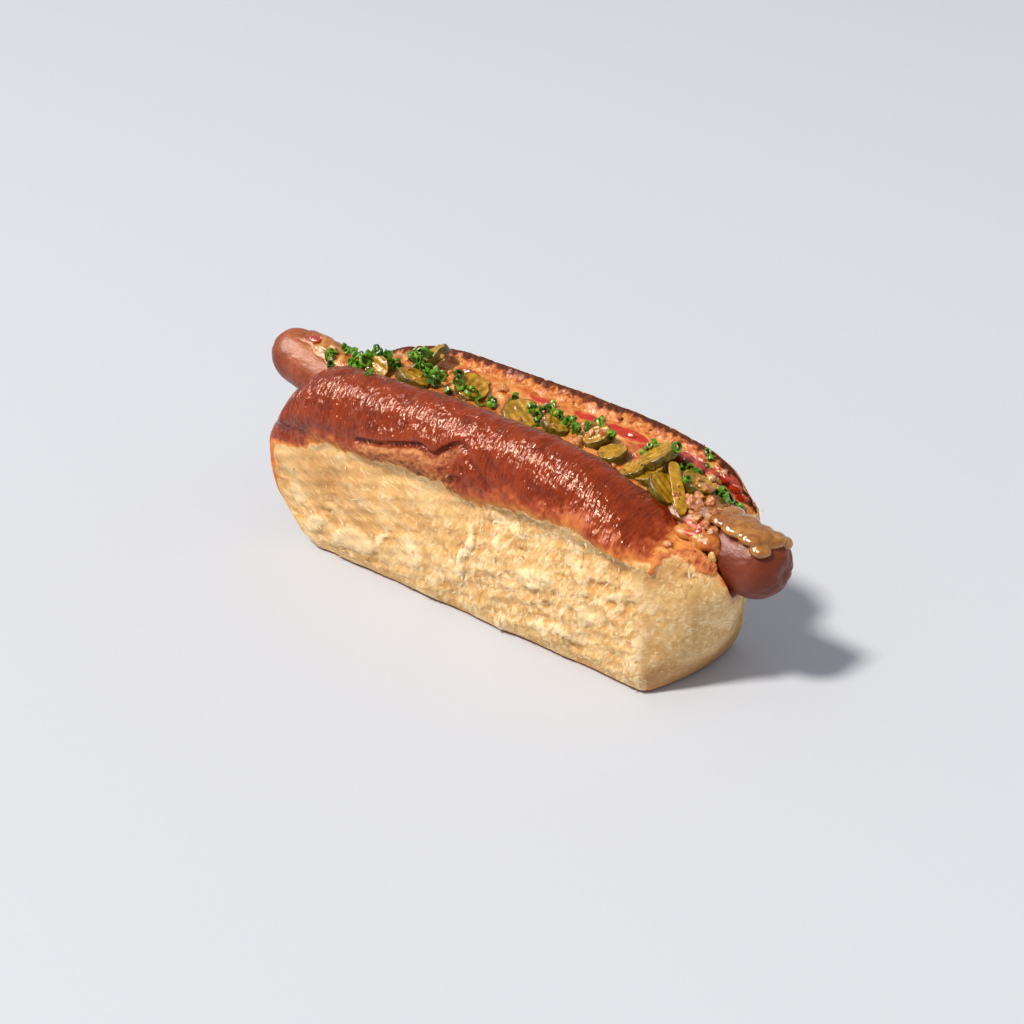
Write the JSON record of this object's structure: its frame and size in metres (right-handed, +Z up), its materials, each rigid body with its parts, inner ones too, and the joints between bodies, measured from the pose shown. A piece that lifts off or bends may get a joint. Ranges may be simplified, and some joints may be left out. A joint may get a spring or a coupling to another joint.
{
  "type": "hot dog",
  "caption": "Loaded hot dog: a frankfurter in a top-split brioche bun under a spiced dressing with pickle slices, chopped chives, crisp crumbs and soft onion relish.",
  "frame": {"origin": "on the surface that the bun stands on, under the middle of the whole hot dog's box", "axes": "+X along the bun and sausage, towards the end with the onion relish; +Y across the bun, towards the half that leans out; +Z up"},
  "size_m": [0.2024, 0.0554, 0.067],
  "materials": {
    "bun_crust": "egg-washed brioche crust, satin, over matte torn crumb",
    "sausage_skin": "tight sausage skin, satin gloss",
    "dressing": "creamy wet dressing, glossy",
    "onion_relish": "translucent cooked onion, glossy",
    "pickle": "wet pickle, glossy"
  },
  "bodies": {
    "root": {"bun": "bun_crust", "sausage": "sausage_skin", "dressing": "dressing", "onion_relish": "onion_relish", "pickle_1": "pickle", "pickle_2": "pickle", "pickle_3": "pickle", "pickle_4": "pickle", "pickle_5": "pickle", "pickle_6": "pickle", "pickle_7": "pickle", "pickle_8": "pickle", "pickle_9": "pickle", "pickle_10": "pickle", "pickle_11": "pickle", "pickle_12": "pickle", "pickle_13": "pickle", "pickle_14": "pickle"}
  },
  "joints": []
}
